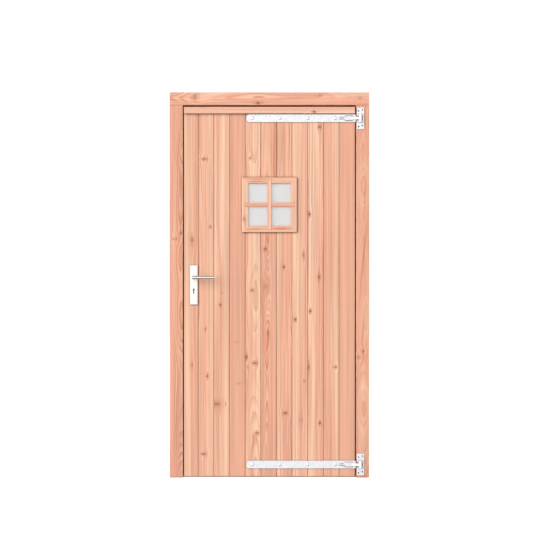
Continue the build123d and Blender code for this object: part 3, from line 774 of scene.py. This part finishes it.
def zinc_material(metal):
    """Hot-dipped zinc with its faint crystals, and painted shade between its pieces and in corners."""
    if "galvanised_zinc" in bpy.data.materials:
        return bpy.data.materials["galvanised_zinc"]
    material, write, surface = bare_material("galvanised_zinc")
    at = write.node("ShaderNodeTexCoord").outputs["Object"]
    cells = {"Vector": at, "Scale": 1.0 / metal.spangle, "Randomness": 1.0}
    crystals = write.node("ShaderNodeTexVoronoi", cells)
    facet = write.parts(crystals.outputs["Color"])[0]
    cloud = write.noise(at, (60.0, 60.0, 60.0), 3.0)
    level = write.math("ADD", 0.97, write.swing(facet, 0.06))
    level = write.math("ADD", level, write.swing(cloud, 0.05))
    tinted = write.mix(1.0, opaque(metal.zinc), write.join(level, level, level), "MULTIPLY")
    # Painted shade: the zinc darkens between its pieces and in corners, where ambient occlusion finds
    # surfaces close by
    tinted = write.mix(1.0, tinted, write.crevices(metal.grime_reach, metal.grime), "MULTIPLY")
    gloss = write.math("ADD", metal.zinc_roughness, write.swing(facet, 0.05))
    gloss = write.math("ADD", gloss, write.swing(cloud, 0.10))
    grit = write.noise(at, (900.0, 900.0, 900.0), 2.0)
    relief = write.node("ShaderNodeBump", {"Strength": 0.12, "Distance": 0.0002, "Height": grit})
    write.feed(surface.inputs["Base Color"], tinted)
    write.feed(surface.inputs["Roughness"], gloss)
    write.feed(surface.inputs["Normal"], relief.outputs[0])
    surface.inputs["Metallic"].default_value = metal.zinc_bare
    return material


def satin_material(name, tint, roughness, brushed, bare=0.8):
    """Metal with a fine brushed grain along the given stretch of noise, bare or under a dull skin."""
    if name in bpy.data.materials:
        return bpy.data.materials[name]
    material, write, surface = bare_material(name)
    at = write.node("ShaderNodeTexCoord").outputs["Object"]
    lines = write.noise(at, brushed, 2.0)
    cloud = write.noise(at, (35.0, 35.0, 35.0), 2.0)
    level = write.math("ADD", 0.985, write.swing(lines, 0.05))
    tinted = write.mix(1.0, opaque(tint), write.join(level, level, level), "MULTIPLY")
    gloss = write.math("ADD", roughness, write.swing(lines, 0.12))
    gloss = write.math("ADD", gloss, write.swing(cloud, 0.06))
    relief = write.node("ShaderNodeBump", {"Strength": 0.12, "Distance": 0.0001, "Height": lines})
    write.feed(surface.inputs["Base Color"], tinted)
    write.feed(surface.inputs["Roughness"], gloss)
    write.feed(surface.inputs["Normal"], relief.outputs[0])
    surface.inputs["Metallic"].default_value = bare
    return material


def plated_steel(metal):
    """The steel of the lock, the strike and the pale screws."""
    return satin_material("plated_steel", metal.lock, metal.lock_roughness, (500.0, 500.0, 20.0))


def dark_steel(metal):
    """The dark steel of the screws in the hinge plates and of the levers inside the lock, where its
    near-black is partly painted shade in the keyhole.
    """
    return satin_material("dark_screw", metal.screw, metal.screw_roughness, (300.0, 300.0, 300.0))


def pane_material(glass):
    """Slightly grey window glass with a faint ripple."""
    material, write, surface = bare_material("window_glass")
    at = write.node("ShaderNodeTexCoord").outputs["Object"]
    ripple = write.noise(at, (9.0, 9.0, 5.0), 2.0)
    relief = write.node("ShaderNodeBump", {"Strength": 0.06, "Distance": 0.002, "Height": ripple})
    write.feed(surface.inputs["Normal"], relief.outputs[0])
    surface.inputs["Base Color"].default_value = opaque(glass.tint)
    surface.inputs["Roughness"].default_value = glass.roughness
    surface.inputs["IOR"].default_value = glass.index
    surface.inputs["Transmission Weight"].default_value = glass.clear
    return material


def finish_node(name, material):
    """Gives a CAD node its material."""
    materials = NODES[name].data.materials
    materials.clear()
    materials.append(material)


def finish_timber(context, name, cut, turn):
    """Gives a CAD node its own length of softwood, measured from the floor or the hinge side."""
    low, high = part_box(name)
    middle = (low + high) / 2
    if turn == UPRIGHT:
        zero = Vector((middle.x, middle.y, 0.0))
    elif turn == LEVEL:
        zero = Vector((0.0, middle.y, middle.z))
    else:
        zero = Vector((high.x, middle.y, low.z))
    finish_node(name, timber_material(name, cut, turn, zero, context.scene.door_timber))


def add_turned(mesh, place, rings, sides=24):
    """Adds a closed solid to a mesh: rings of (radius, height, lobes) about the place's own Z."""
    loops = []
    for radius, height, lobes in rings:
        loop = []
        for step in range(sides):
            angle = 2 * math.pi * step / sides
            reach = radius * (1 + lobes * math.cos(6 * angle))
            point = Vector((reach * math.cos(angle), reach * math.sin(angle), height))
            loop.append(mesh.verts.new(place @ point))
        loops.append(loop)
    for lower, upper in zip(loops, loops[1:]):
        for step in range(sides):
            after = (step + 1) % sides
            mesh.faces.new((lower[step], lower[after], upper[after], upper[step]))
    mesh.faces.new(reversed(loops[0]))
    mesh.faces.new(loops[-1])


def screw_head(radius):
    """Rings of a flat screw head with a six-lobed socket."""
    return (
        (radius * 0.80, -0.0012, 0.0),
        (radius, -0.0002, 0.0),
        (radius * 0.96, 0.0002, 0.0),
        (radius * 0.62, 0.0005, 0.0),
        (radius * 0.48, 0.0005, 0.16),
        (radius * 0.42, -0.0009, 0.16),
    )


def fixing(name, solids, material, body):
    """Makes one object of several turned solids, given as (place, rings, sides), and hangs it on a body."""
    built = bmesh.new()
    for place, rings, sides in solids:
        add_turned(built, place, rings, sides)
    bmesh.ops.recalc_face_normals(built, faces=built.faces)
    mesh = bpy.data.meshes.new(name)
    built.to_mesh(mesh)
    built.free()
    mesh.shade_smooth()
    mesh.set_sharp_from_angle(angle=math.radians(38))
    mesh.materials.append(material)
    piece = bpy.data.objects.new(name, mesh)
    bpy.context.scene.collection.objects.link(piece)
    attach(piece, body)
    return piece


class DOOR_OT_frame_timbers(bpy.types.Operator):
    """Gives the posts, the head and the stops their timber"""

    bl_idname = "door.frame_timbers"
    bl_label = "Frame Timbers"

    def execute(self, context):
        for name, cut in POSTS.items():
            finish_timber(context, name, cut, UPRIGHT)
        finish_timber(context, "head_rail", HEAD_RAIL, LEVEL)
        for name, (cut, turn) in STOPS.items():
            finish_timber(context, name, cut, turn)
        return {"FINISHED"}


class DOOR_OT_boards(bpy.types.Operator):
    """Gives each board of the leaf its own grain and knots"""

    bl_idname = "door.boards"
    bl_label = "Boards"

    def execute(self, context):
        for name, cut in BOARDS.items():
            finish_timber(context, name, cut, UPRIGHT)
        return {"FINISHED"}


class DOOR_OT_window_joinery(bpy.types.Operator):
    """Gives the drip strip, the window trim and the glazing bars their timber"""

    bl_idname = "door.window_joinery"
    bl_label = "Drip Strip and Window Trim"

    def execute(self, context):
        finish_timber(context, "drip_strip", DRIP_STRIP, LEVEL)
        for side in ("window", "inside"):
            finish_timber(context, f"{side}_trim_sides", TRIM_SIDES, UPRIGHT)
            finish_timber(context, f"{side}_trim_rails", TRIM_RAILS, LEVEL)
        finish_timber(context, "upright_bar", UPRIGHT_BAR, UPRIGHT)
        finish_timber(context, "cross_bar", CROSS_BAR, LEVEL)
        return {"FINISHED"}


class DOOR_OT_leaf_framing(bpy.types.Operator):
    """Gives the stiles, rails and brace behind the boards their timber"""

    bl_idname = "door.leaf_framing"
    bl_label = "Leaf Framing"

    def execute(self, context):
        low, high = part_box("brace")
        turns = {"lock_stile": UPRIGHT, "hinge_stile": UPRIGHT}
        turns["brace"] = -math.atan2(high.x - low.x, high.z - low.z)
        for name, cut in FRAMING.items():
            finish_timber(context, name, cut, turns.get(name, LEVEL))
        return {"FINISHED"}


class DOOR_OT_window_pane(bpy.types.Operator):
    """Gives the pane its glass"""

    bl_idname = "door.window_pane"
    bl_label = "Window Pane"

    def execute(self, context):
        finish_node("window_pane", pane_material(context.scene.door_glass))
        return {"FINISHED"}


class DOOR_OT_hinges(bpy.types.Operator):
    """Gives the straps, plates and pins their zinc"""

    bl_idname = "door.hinges"
    bl_label = "Strap Hinges"

    def execute(self, context):
        zinc = zinc_material(context.scene.door_metal)
        for level in ("upper", "lower"):
            for piece in ("strap", "hinge_plate", "hinge_pin"):
                finish_node(f"{level}_{piece}", zinc)
        return {"FINISHED"}


class DOOR_OT_strap_bolts(bpy.types.Operator):
    """Adds domed bolts through the straps, with washers and nuts on the inside"""

    bl_idname = "door.strap_bolts"
    bl_label = "Strap Bolts"

    def execute(self, context):
        sizes = context.scene.door_fixings
        zinc = zinc_material(context.scene.door_metal)
        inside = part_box("top_rail")[1].y
        radius, dome = sizes.bolt_head, sizes.bolt_dome
        head = (
            (radius, 0.0, 0.0),
            (radius, dome * 0.12, 0.0),
            (radius * 0.90, dome * 0.42, 0.0),
            (radius * 0.68, dome * 0.74, 0.0),
            (radius * 0.38, dome * 0.94, 0.0),
            (radius * 0.12, dome, 0.0),
        )
        washer_top = sizes.washer_thick
        washer = (
            (sizes.washer, 0.0, 0.0),
            (sizes.washer, washer_top * 0.8, 0.0),
            (sizes.washer * 0.97, washer_top, 0.0),
        )
        nut_top = washer_top + sizes.nut_height
        nut = (
            (sizes.nut, washer_top, 0.0),
            (sizes.nut, nut_top - sizes.nut_bevel, 0.0),
            (sizes.nut * 0.88, nut_top, 0.0),
        )
        end = self.threaded_end(sizes.bolt_shank, washer_top, nut_top + sizes.bolt_end, sizes.thread_pitch)
        for level in ("upper", "lower"):
            low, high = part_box(f"{level}_strap")
            height = (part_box(f"{level}_hinge_plate")[0].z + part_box(f"{level}_hinge_plate")[1].z) / 2
            face = self.strap_face(f"{level}_strap", low.x, sizes.bolt_from_tip)
            heads, nuts = [], []
            for number in range(sizes.bolts):
                x = low.x + sizes.bolt_from_tip + number * sizes.bolt_spacing
                heads.append((Matrix.Translation((x, face, height)) @ OUTWARDS, head, 32))
                place = Matrix.Translation((x, inside, height)) @ INWARDS
                turned = place @ Matrix.Rotation(0.7 * number, 4, "Z")
                nuts += [(place, washer, 32), (turned, nut, 6), (place, end, 20)]
            fixing(f"{level}_strap_bolt_heads", heads, zinc, "leaf")
            fixing(f"{level}_strap_nuts", nuts, zinc, "leaf")
        return {"FINISHED"}

    @staticmethod
    def strap_face(name, tip, first):
        """Where the front of a strap lies between its tip and a little past its first bolt."""
        return min(v.co.y for v in NODES[name].data.vertices if v.co.x < tip + 2.2 * first)

    @staticmethod
    def threaded_end(radius, foot, top, pitch):
        """Rings of a bolt's end, with the ridges of its thread."""
        rings = [(radius, foot, 0.0)]
        height = top - 3 * pitch
        while height < top - pitch / 2:
            rings += [(radius, height, 0.0), (radius * 0.86, height + pitch / 2, 0.0)]
            height += pitch
        return (*rings, (radius * 0.96, top - pitch / 4, 0.0), (radius * 0.80, top, 0.0))


class DOOR_OT_plate_screws(bpy.types.Operator):
    """Adds dark screws in the holes of the hinge plates"""

    bl_idname = "door.plate_screws"
    bl_label = "Plate Screws"

    def execute(self, context):
        sizes, metal = context.scene.door_fixings, context.scene.door_metal
        dark = dark_steel(metal)
        for level in ("upper", "lower"):
            low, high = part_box(f"{level}_hinge_plate")
            middle = (low + high) / 2
            # The plate lies on the post, and its lugs stand further out than its own face
            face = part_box("hinge_post")[0].y - sizes.plate_screw_rise
            screws = []
            for side in (-1, 1):
                for aside, above in (sizes.plate_screw_inner, sizes.plate_screw_outer):
                    place = Matrix.Translation((middle.x + side * aside, face, middle.z + side * above))
                    screws.append((place @ OUTWARDS, screw_head(sizes.plate_screw), 24))
            fixing(f"{level}_plate_screws", screws, dark, "door_frame")
        return {"FINISHED"}


class DOOR_OT_handle(bpy.types.Operator):
    """Gives the levers and lock plates their satin metal"""

    bl_idname = "door.handle"
    bl_label = "Handle and Lock Plates"

    def execute(self, context):
        metal = context.scene.door_metal
        plate = satin_material("satin_plate", metal.lock_plate, metal.handle_roughness, (700.0, 700.0, 12.0))
        lever_roughness = metal.handle_roughness * 0.7
        lever = satin_material("satin_lever", metal.handle, lever_roughness, (12.0, 700.0, 700.0), 1.0)
        for side in ("outer", "inner"):
            finish_node(f"{side}_lock_plate", plate)
            finish_node(f"{side}_lever", lever)
        return {"FINISHED"}


class DOOR_OT_lock(bpy.types.Operator):
    """Gives the lock, its spindle and its strike their steel, and adds screws and the lock's own levers,
    whose near-black is partly painted shade behind the keyhole
    """

    bl_idname = "door.lock"
    bl_label = "Lock and Strike"

    def execute(self, context):
        sizes, metal = context.scene.door_fixings, context.scene.door_metal
        steel = plated_steel(metal)
        for name in ("mortise_lock", "spindle", "strike_plate"):
            finish_node(name, steel)
        stile_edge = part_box("lock_stile")[0].x
        post_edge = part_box("latch_post")[1].x
        forend = self.end_screws("mortise_lock", stile_edge, LATCHWARDS, sizes)
        strike = self.end_screws("strike_plate", post_edge, HINGEWARDS, sizes)
        fixing("forend_screws", forend, steel, "leaf")
        fixing("strike_screws", strike, steel, "door_frame")
        # The lock's own levers are real parts behind the keyhole; their near-black steel is partly painted
        # shade, so the keyhole reads as a dark hollow
        low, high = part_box("mortise_lock")
        axle_low, axle_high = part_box("spindle")
        axle = (axle_low + axle_high) / 2
        place = Matrix.Translation((axle.x, (low.y + high.y) / 2, axle.z - sizes.key_drop))
        half = sizes.lock_lever_thick / 2
        pack = ((sizes.lock_lever, -half, 0.0), (sizes.lock_lever, half, 0.0))
        dark = dark_steel(metal)
        fixing("lock_levers_and_keyhole_shade", [(place @ OUTWARDS, pack, 24)], dark, "leaf")
        return {"FINISHED"}

    @staticmethod
    def end_screws(node, face, turn, sizes):
        """A screw near the top and the bottom of a plate that lies in the edge of a timber."""
        low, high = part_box(node)
        depth = (low.y + high.y) / 2
        screws = []
        for height in (low.z + sizes.lock_screw_inset, high.z - sizes.lock_screw_inset):
            place = Matrix.Translation((face, depth, height)) @ turn
            screws.append((place, screw_head(sizes.lock_screw), 24))
        return screws


class DOOR_OT_framing_screws(bpy.types.Operator):
    """Adds the screws that hold the boards to the framing, seen from inside"""

    bl_idname = "door.framing_screws"
    bl_label = "Framing Screws"

    def execute(self, context):
        sizes, metal = context.scene.door_fixings, context.scene.door_metal
        steel = plated_steel(metal)
        places = []
        for stile in ("lock_stile", "hinge_stile"):
            low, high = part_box(stile)
            for height in STILE_SCREW_HEIGHTS:
                places.append((low.x + sizes.framing_inset, height))
                places.append((high.x - sizes.framing_inset, height + sizes.framing_stagger))
        for rail in ("top_rail", "lock_rail", "bottom_rail"):
            low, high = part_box(rail)
            middle = (low.z + high.z) / 2
            for number in range(sizes.rail_screws):
                x = low.x + (high.x - low.x) * (number + 0.5) / sizes.rail_screws
                places.append((x, middle + (sizes.rail_stagger if number % 2 else -sizes.rail_stagger)))
        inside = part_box("top_rail")[1].y
        screws = []
        for x, z in places:
            # Each screw was left at a turn of its own
            place = Matrix.Translation((x, inside, z)) @ INWARDS @ Matrix.Rotation(x * 90, 4, "Z")
            screws.append((place, screw_head(sizes.framing_screw), 24))
        fixing("framing_screws", screws, steel, "leaf")
        return {"FINISHED"}


class DOOR_OT_trim_nails(bpy.types.Operator):
    """Adds small nail heads in the window trim, outside and inside"""

    bl_idname = "door.trim_nails"
    bl_label = "Trim Nails"

    def execute(self, context):
        sizes, metal = context.scene.door_fixings, context.scene.door_metal
        steel = plated_steel(metal)
        radius = sizes.nail
        head = ((radius * 0.9, -0.0012, 0.0), (radius, -0.0002, 0.0), (radius * 0.85, 0.0001, 0.0))
        for side, turn in (("window", OUTWARDS), ("inside", INWARDS)):
            low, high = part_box(f"{side}_trim_sides")
            middle, half = (low + high) / 2, (high - low) / 2
            face = low.y if side == "window" else high.y
            line, reach = half.x - sizes.nail_inset, half.x * 0.62
            nails = []
            for along in (-reach, reach):
                for edge in (-line, line):
                    for x, z in ((along, edge), (edge, along)):
                        place = Matrix.Translation((middle.x + x, face, middle.z + z)) @ turn
                        nails.append((place, head, 12))
            fixing(f"{side}_trim_nails", nails, steel, "leaf")
        return {"FINISHED"}


class DOOR_OT_stage(bpy.types.Operator):
    """Adds the pale floor, the white surroundings, two lights and the camera"""

    bl_idname = "door.stage"
    bl_label = "Stage"

    def execute(self, context):
        stage = context.scene.door_stage
        low, high = cad_box
        self.add_floor(stage, (low + high) / 2)
        self.add_surroundings(context.scene, stage)
        self.add_light(context.scene, "key", stage.key_strength, stage.light_angle, KEY_TOWARDS)
        self.add_light(context.scene, "fill", stage.fill_strength, stage.light_angle, FILL_TOWARDS)
        self.add_camera(context.scene, stage)
        context.scene.view_settings.view_transform = "Standard"
        return {"FINISHED"}

    @staticmethod
    def add_floor(stage, middle):
        built = bmesh.new()
        place = Matrix.Translation((middle.x, middle.y, -0.0005))
        bmesh.ops.create_grid(built, x_segments=1, y_segments=1, size=stage.floor_size / 2, matrix=place)
        mesh = bpy.data.meshes.new("floor")
        built.to_mesh(mesh)
        built.free()
        material, write, surface = bare_material("pale_floor")
        surface.inputs["Base Color"].default_value = opaque(stage.floor)
        surface.inputs["Roughness"].default_value = 0.9
        surface.inputs["Specular IOR Level"].default_value = 0.1
        surface.inputs["Emission Color"].default_value = opaque(stage.floor)
        surface.inputs["Emission Strength"].default_value = stage.floor_glow
        mesh.materials.append(material)
        floor = bpy.data.objects.new("floor", mesh)
        floor.visible_diffuse = False
        floor.visible_glossy = False
        bpy.context.scene.collection.objects.link(floor)

    @staticmethod
    def add_surroundings(scene, stage):
        world = bpy.data.worlds.new("studio")
        world.use_nodes = True
        world.node_tree.nodes.clear()
        write = NodeWriter(world.node_tree)
        upwards = write.parts(write.node("ShaderNodeTexCoord").outputs["Generated"])[2]
        above = write.ease(upwards, 0.45, 0.88, stage.sky, stage.zenith)
        below = write.ease(upwards, -0.75, -0.40, stage.nadir, stage.sky)
        bright = write.math("MINIMUM", above, below)
        glow = write.node("ShaderNodeBackground", {"Color": (1.0, 1.0, 1.0, 1.0), "Strength": bright})
        write.node("ShaderNodeOutputWorld", {"Surface": glow.outputs[0]})
        scene.world = world

    @staticmethod
    def add_light(scene, name, strength, angle, towards):
        light = bpy.data.lights.new(name, "SUN")
        light.energy = strength
        light.angle = angle
        shining = bpy.data.objects.new(name, light)
        shining.rotation_euler = towards.to_track_quat("-Z", "Y").to_euler()
        scene.collection.objects.link(shining)

    @staticmethod
    def add_camera(scene, stage):
        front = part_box("window_board_2")[0].y
        lens = bpy.data.cameras.new("camera")
        lens.sensor_width = 36.0
        lens.lens = lens.sensor_width * stage.camera_distance / stage.field
        lens.clip_end = 200.0
        camera = bpy.data.objects.new("camera", lens)
        camera.location = (stage.camera_across, front - stage.camera_distance, stage.camera_height)
        camera.rotation_euler = (math.pi / 2, 0.0, 0.0)
        scene.collection.objects.link(camera)
        scene.camera = camera


class DOOR_PT_looks(bpy.types.Panel):
    """Lists the door's settings and steps"""

    bl_idname = "DOOR_PT_looks"
    bl_label = "Plank Door"
    bl_space_type = "VIEW_3D"
    bl_region_type = "UI"
    bl_category = "Door"

    def draw(self, context):
        for label in SETTINGS:
            box = self.layout.box()
            settings = getattr(context.scene, label)
            for name in settings.__annotations__:
                box.prop(settings, name)
        for step in STEPS:
            self.layout.operator(step.bl_idname)


SETTINGS = {
    "door_timber": TimberSettings,
    "door_glass": GlassSettings,
    "door_metal": MetalSettings,
    "door_fixings": FixingSettings,
    "door_stage": StageSettings,
}
STEPS = (
    DOOR_OT_frame_timbers,
    DOOR_OT_boards,
    DOOR_OT_window_joinery,
    DOOR_OT_leaf_framing,
    DOOR_OT_window_pane,
    DOOR_OT_hinges,
    DOOR_OT_strap_bolts,
    DOOR_OT_plate_screws,
    DOOR_OT_handle,
    DOOR_OT_lock,
    DOOR_OT_framing_screws,
    DOOR_OT_trim_nails,
    DOOR_OT_stage,
)
CLASSES = (*SETTINGS.values(), *STEPS, DOOR_PT_looks)


def register():
    for kind in CLASSES:
        bpy.utils.register_class(kind)
    for label, kind in SETTINGS.items():
        setattr(bpy.types.Scene, label, PointerProperty(type=kind))


def unregister():
    for label in SETTINGS:
        delattr(bpy.types.Scene, label)
    for kind in reversed(CLASSES):
        bpy.utils.unregister_class(kind)


def main():
    register()
    bpy.ops.door.frame_timbers()
    bpy.ops.door.boards()
    bpy.ops.door.window_joinery()
    bpy.ops.door.leaf_framing()
    bpy.ops.door.window_pane()
    bpy.ops.door.hinges()
    bpy.ops.door.strap_bolts()
    bpy.ops.door.plate_screws()
    bpy.ops.door.handle()
    bpy.ops.door.lock()
    bpy.ops.door.framing_screws()
    bpy.ops.door.trim_nails()
    bpy.ops.door.stage()


if __name__ == "__main__":
    main()
